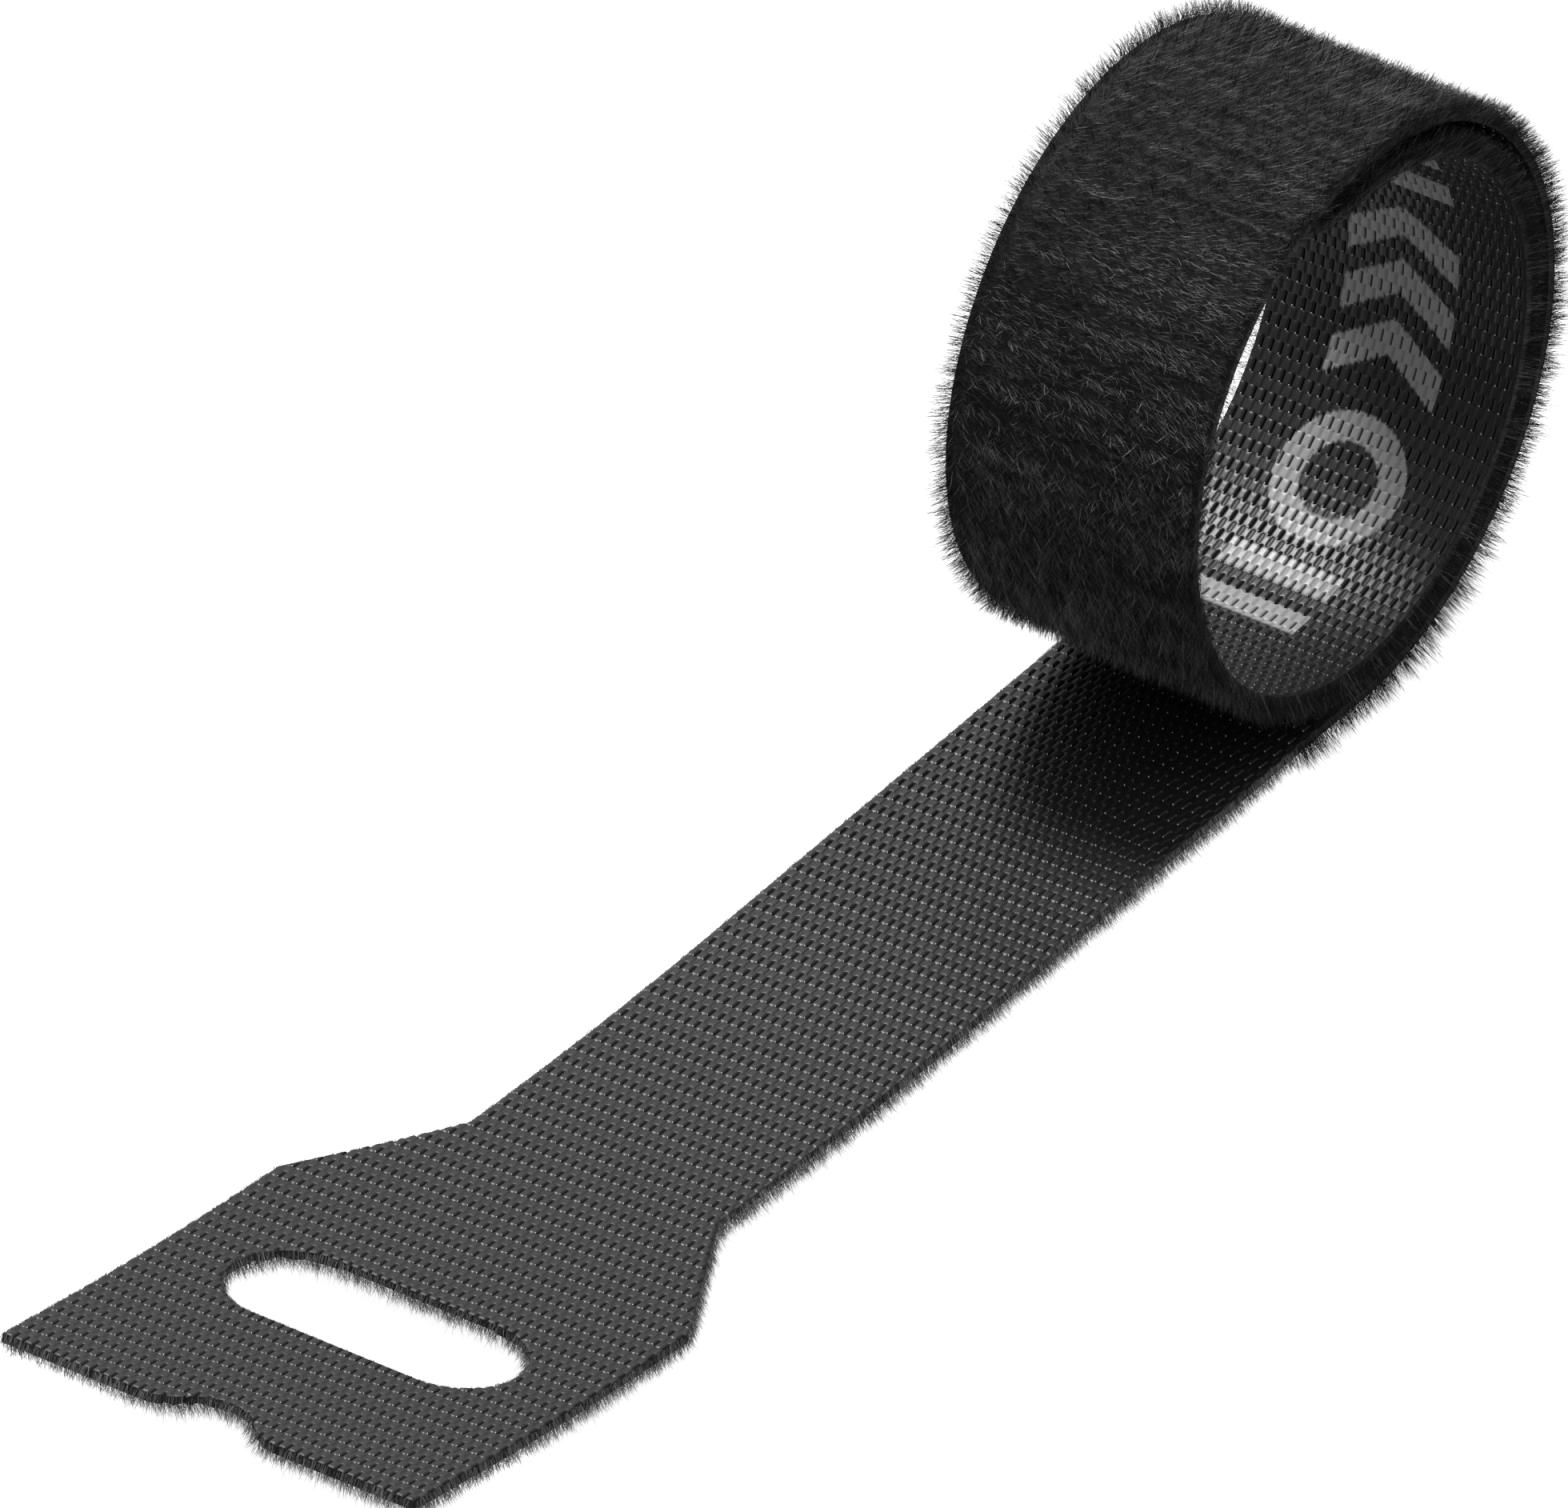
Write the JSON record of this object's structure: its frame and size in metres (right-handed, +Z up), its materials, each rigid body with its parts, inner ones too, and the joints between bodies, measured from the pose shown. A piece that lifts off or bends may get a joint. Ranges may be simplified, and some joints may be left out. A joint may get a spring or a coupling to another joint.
{
  "type": "reusable hook-and-loop cable tie",
  "caption": "Flexible back-to-back hook-and-loop strap with a wide slotted head at one end and the other end rolled up into a coil.",
  "frame": {"origin": "on the underside of the band, at the middle of its flat stretch, in the plane the strap rests on", "axes": "+X along the strap from the head to the coil, +Y across the strap, +Z up, away from the surface it rests on"},
  "size_m": [0.1447, 0.0332, 0.0469],
  "materials": {
    "hook_tape": "satin",
    "loop_tape": "matte"
  },
  "bodies": {
    "head": {"head_hook_tape": "hook_tape", "head_loop_tape": "loop_tape"},
    "neck": {"neck_hook_tape": "hook_tape", "neck_loop_tape": "loop_tape"},
    "band_1": {"band_1_hook_tape": "hook_tape", "band_1_loop_tape": "loop_tape"},
    "band_2": {"band_2_hook_tape": "hook_tape", "band_2_loop_tape": "loop_tape"},
    "band_3": {"band_3_hook_tape": "hook_tape", "band_3_loop_tape": "loop_tape"},
    "coil_01": {"coil_01_hook_tape": "hook_tape", "coil_01_loop_tape": "loop_tape"},
    "coil_02": {"coil_02_hook_tape": "hook_tape", "coil_02_loop_tape": "loop_tape"},
    "coil_03": {"coil_03_hook_tape": "hook_tape", "coil_03_loop_tape": "loop_tape"},
    "coil_04": {"coil_04_hook_tape": "hook_tape", "coil_04_loop_tape": "loop_tape"},
    "coil_05": {"coil_05_hook_tape": "hook_tape", "coil_05_loop_tape": "loop_tape"},
    "coil_06": {"coil_06_hook_tape": "hook_tape", "coil_06_loop_tape": "loop_tape"},
    "coil_07": {"coil_07_hook_tape": "hook_tape", "coil_07_loop_tape": "loop_tape"},
    "coil_08": {"coil_08_hook_tape": "hook_tape", "coil_08_loop_tape": "loop_tape"},
    "coil_09": {"coil_09_hook_tape": "hook_tape", "coil_09_loop_tape": "loop_tape"},
    "coil_10": {"coil_10_hook_tape": "hook_tape", "coil_10_loop_tape": "loop_tape"},
    "coil_11": {"coil_11_hook_tape": "hook_tape", "coil_11_loop_tape": "loop_tape"},
    "coil_12": {"coil_12_hook_tape": "hook_tape", "coil_12_loop_tape": "loop_tape"},
    "coil_13": {"coil_13_hook_tape": "hook_tape", "coil_13_loop_tape": "loop_tape"},
    "coil_14": {"coil_14_hook_tape": "hook_tape", "coil_14_loop_tape": "loop_tape"},
    "coil_15": {"coil_15_hook_tape": "hook_tape", "coil_15_loop_tape": "loop_tape"},
    "coil_16": {"coil_16_hook_tape": "hook_tape", "coil_16_loop_tape": "loop_tape"},
    "coil_17": {"coil_17_hook_tape": "hook_tape", "coil_17_loop_tape": "loop_tape"},
    "coil_18": {"coil_18_hook_tape": "hook_tape", "coil_18_loop_tape": "loop_tape"},
    "coil_19": {"coil_19_hook_tape": "hook_tape", "coil_19_loop_tape": "loop_tape"},
    "coil_20": {"coil_20_hook_tape": "hook_tape", "coil_20_loop_tape": "loop_tape"},
    "coil_21": {"coil_21_hook_tape": "hook_tape", "coil_21_loop_tape": "loop_tape"},
    "coil_22": {"coil_22_hook_tape": "hook_tape", "coil_22_loop_tape": "loop_tape"},
    "coil_23": {"coil_23_hook_tape": "hook_tape", "coil_23_loop_tape": "loop_tape"},
    "coil_24": {"coil_24_hook_tape": "hook_tape", "coil_24_loop_tape": "loop_tape"},
    "tail": {"tail_hook_tape": "hook_tape", "tail_loop_tape": "loop_tape"}
  },
  "joints": [
    {"name": "neck_flex", "type": "hinge", "parent": "band_1", "child": "neck", "pos_m": [-0.024, 0, 0.0014], "axis": [0, 1, 0], "range_deg": [-3.5, 24]},
    {"name": "head_flex", "type": "hinge", "parent": "neck", "child": "head", "pos_m": [-0.05102, 0, 0.00245], "axis": [0, 1, 0], "range_deg": [-3.5, 24]},
    {"name": "band_head_side_flex", "type": "hinge", "parent": "band_2", "child": "band_1", "pos_m": [-0.008, 0, 0.0014], "axis": [0, 1, 0], "range_deg": [0, 12]},
    {"name": "band_coil_side_flex", "type": "hinge", "parent": "band_2", "child": "band_3", "pos_m": [0.008, 0, 0.0014], "axis": [0, 1, 0], "range_deg": [-12, 0]},
    {"name": "coil_01_unroll", "type": "hinge", "parent": "band_3", "child": "coil_01", "pos_m": [0.024, 0, 0.0014], "axis": [0, 1, 0], "range_deg": [0, 11.25]},
    {"name": "coil_unroll", "type": "hinge", "parent": "coil_01", "child": "coil_02", "pos_m": [0.03266, 0, 0.00312], "axis": [0, 1, 0], "range_deg": [0, 22.5]},
    {"name": "coil_03_unroll", "type": "hinge", "parent": "coil_02", "child": "coil_03", "pos_m": [0.03994, 0, 0.00799], "axis": [0, 1, 0], "range_deg": [0, 22.5]},
    {"name": "coil_04_unroll", "type": "hinge", "parent": "coil_03", "child": "coil_04", "pos_m": [0.04477, 0, 0.01522], "axis": [0, 1, 0], "range_deg": [0, 22.5]},
    {"name": "coil_05_unroll", "type": "hinge", "parent": "coil_04", "child": "coil_05", "pos_m": [0.04646, 0, 0.02369], "axis": [0, 1, 0], "range_deg": [0, 22.5]},
    {"name": "coil_06_unroll", "type": "hinge", "parent": "coil_05", "child": "coil_06", "pos_m": [0.04479, 0, 0.0321], "axis": [0, 1, 0], "range_deg": [0, 22.5]},
    {"name": "coil_07_unroll", "type": "hinge", "parent": "coil_06", "child": "coil_07", "pos_m": [0.04006, 0, 0.03917], "axis": [0, 1, 0], "range_deg": [0, 22.5]},
    {"name": "coil_08_unroll", "type": "hinge", "parent": "coil_07", "child": "coil_08", "pos_m": [0.03304, 0, 0.04386], "axis": [0, 1, 0], "range_deg": [0, 22.5]},
    {"name": "coil_09_unroll", "type": "hinge", "parent": "coil_08", "child": "coil_09", "pos_m": [0.02482, 0, 0.0455], "axis": [0, 1, 0], "range_deg": [0, 22.5]},
    {"name": "coil_10_unroll", "type": "hinge", "parent": "coil_09", "child": "coil_10", "pos_m": [0.01666, 0, 0.04388], "axis": [0, 1, 0], "range_deg": [0, 22.5]},
    {"name": "coil_11_unroll", "type": "hinge", "parent": "coil_10", "child": "coil_11", "pos_m": [0.00979, 0, 0.03929], "axis": [0, 1, 0], "range_deg": [0, 22.5]},
    {"name": "coil_12_unroll", "type": "hinge", "parent": "coil_11", "child": "coil_12", "pos_m": [0.00524, 0, 0.03248], "axis": [0, 1, 0], "range_deg": [0, 22.5]},
    {"name": "coil_13_unroll", "type": "hinge", "parent": "coil_12", "child": "coil_13", "pos_m": [0.00366, 0, 0.02451], "axis": [0, 1, 0], "range_deg": [0, 22.5]},
    {"name": "coil_14_unroll", "type": "hinge", "parent": "coil_13", "child": "coil_14", "pos_m": [0.00523, 0, 0.0166], "axis": [0, 1, 0], "range_deg": [0, 22.5]},
    {"name": "coil_15_unroll", "type": "hinge", "parent": "coil_14", "child": "coil_15", "pos_m": [0.00968, 0, 0.00995], "axis": [0, 1, 0], "range_deg": [0, 22.5]},
    {"name": "coil_16_unroll", "type": "hinge", "parent": "coil_15", "child": "coil_16", "pos_m": [0.01628, 0, 0.00554], "axis": [0, 1, 0], "range_deg": [0, 22.5]},
    {"name": "coil_17_unroll", "type": "hinge", "parent": "coil_16", "child": "coil_17", "pos_m": [0.024, 0, 0.004], "axis": [0, 1, 0], "range_deg": [0, 22.5]},
    {"name": "coil_18_unroll", "type": "hinge", "parent": "coil_17", "child": "coil_18", "pos_m": [0.03166, 0, 0.00552], "axis": [0, 1, 0], "range_deg": [0, 22.5]},
    {"name": "coil_19_unroll", "type": "hinge", "parent": "coil_18", "child": "coil_19", "pos_m": [0.0381, 0, 0.00983], "axis": [0, 1, 0], "range_deg": [0, 22.5]},
    {"name": "coil_20_unroll", "type": "hinge", "parent": "coil_19", "child": "coil_20", "pos_m": [0.04237, 0, 0.01622], "axis": [0, 1, 0], "range_deg": [0, 22.5]},
    {"name": "coil_21_unroll", "type": "hinge", "parent": "coil_20", "child": "coil_21", "pos_m": [0.04386, 0, 0.02369], "axis": [0, 1, 0], "range_deg": [0, 22.5]},
    {"name": "coil_22_unroll", "type": "hinge", "parent": "coil_21", "child": "coil_22", "pos_m": [0.04238, 0, 0.0311], "axis": [0, 1, 0], "range_deg": [0, 22.5]},
    {"name": "coil_23_unroll", "type": "hinge", "parent": "coil_22", "child": "coil_23", "pos_m": [0.03822, 0, 0.03733], "axis": [0, 1, 0], "range_deg": [0, 22.5]},
    {"name": "coil_24_unroll", "type": "hinge", "parent": "coil_23", "child": "coil_24", "pos_m": [0.03204, 0, 0.04146], "axis": [0, 1, 0], "range_deg": [0, 22.5]},
    {"name": "tail_unroll", "type": "hinge", "parent": "coil_24", "child": "tail", "pos_m": [0.02482, 0, 0.0429], "axis": [0, 1, 0], "range_deg": [0, 11.25]}
  ],
  "couplings": [
    {"joint": "head_flex", "follows": "neck_flex", "ratio": 1},
    {"joint": "band_coil_side_flex", "follows": "band_head_side_flex", "ratio": -1},
    {"joint": "coil_01_unroll", "follows": "coil_unroll", "ratio": 0.5},
    {"joint": "coil_03_unroll", "follows": "coil_unroll", "ratio": 1},
    {"joint": "coil_04_unroll", "follows": "coil_unroll", "ratio": 1},
    {"joint": "coil_05_unroll", "follows": "coil_unroll", "ratio": 1},
    {"joint": "coil_06_unroll", "follows": "coil_unroll", "ratio": 1},
    {"joint": "coil_07_unroll", "follows": "coil_unroll", "ratio": 1},
    {"joint": "coil_08_unroll", "follows": "coil_unroll", "ratio": 1},
    {"joint": "coil_09_unroll", "follows": "coil_unroll", "ratio": 1},
    {"joint": "coil_10_unroll", "follows": "coil_unroll", "ratio": 1},
    {"joint": "coil_11_unroll", "follows": "coil_unroll", "ratio": 1},
    {"joint": "coil_12_unroll", "follows": "coil_unroll", "ratio": 1},
    {"joint": "coil_13_unroll", "follows": "coil_unroll", "ratio": 1},
    {"joint": "coil_14_unroll", "follows": "coil_unroll", "ratio": 1},
    {"joint": "coil_15_unroll", "follows": "coil_unroll", "ratio": 1},
    {"joint": "coil_16_unroll", "follows": "coil_unroll", "ratio": 1},
    {"joint": "coil_17_unroll", "follows": "coil_unroll", "ratio": 1},
    {"joint": "coil_18_unroll", "follows": "coil_unroll", "ratio": 1},
    {"joint": "coil_19_unroll", "follows": "coil_unroll", "ratio": 1},
    {"joint": "coil_20_unroll", "follows": "coil_unroll", "ratio": 1},
    {"joint": "coil_21_unroll", "follows": "coil_unroll", "ratio": 1},
    {"joint": "coil_22_unroll", "follows": "coil_unroll", "ratio": 1},
    {"joint": "coil_23_unroll", "follows": "coil_unroll", "ratio": 1},
    {"joint": "coil_24_unroll", "follows": "coil_unroll", "ratio": 1},
    {"joint": "tail_unroll", "follows": "coil_unroll", "ratio": 0.5}
  ]
}
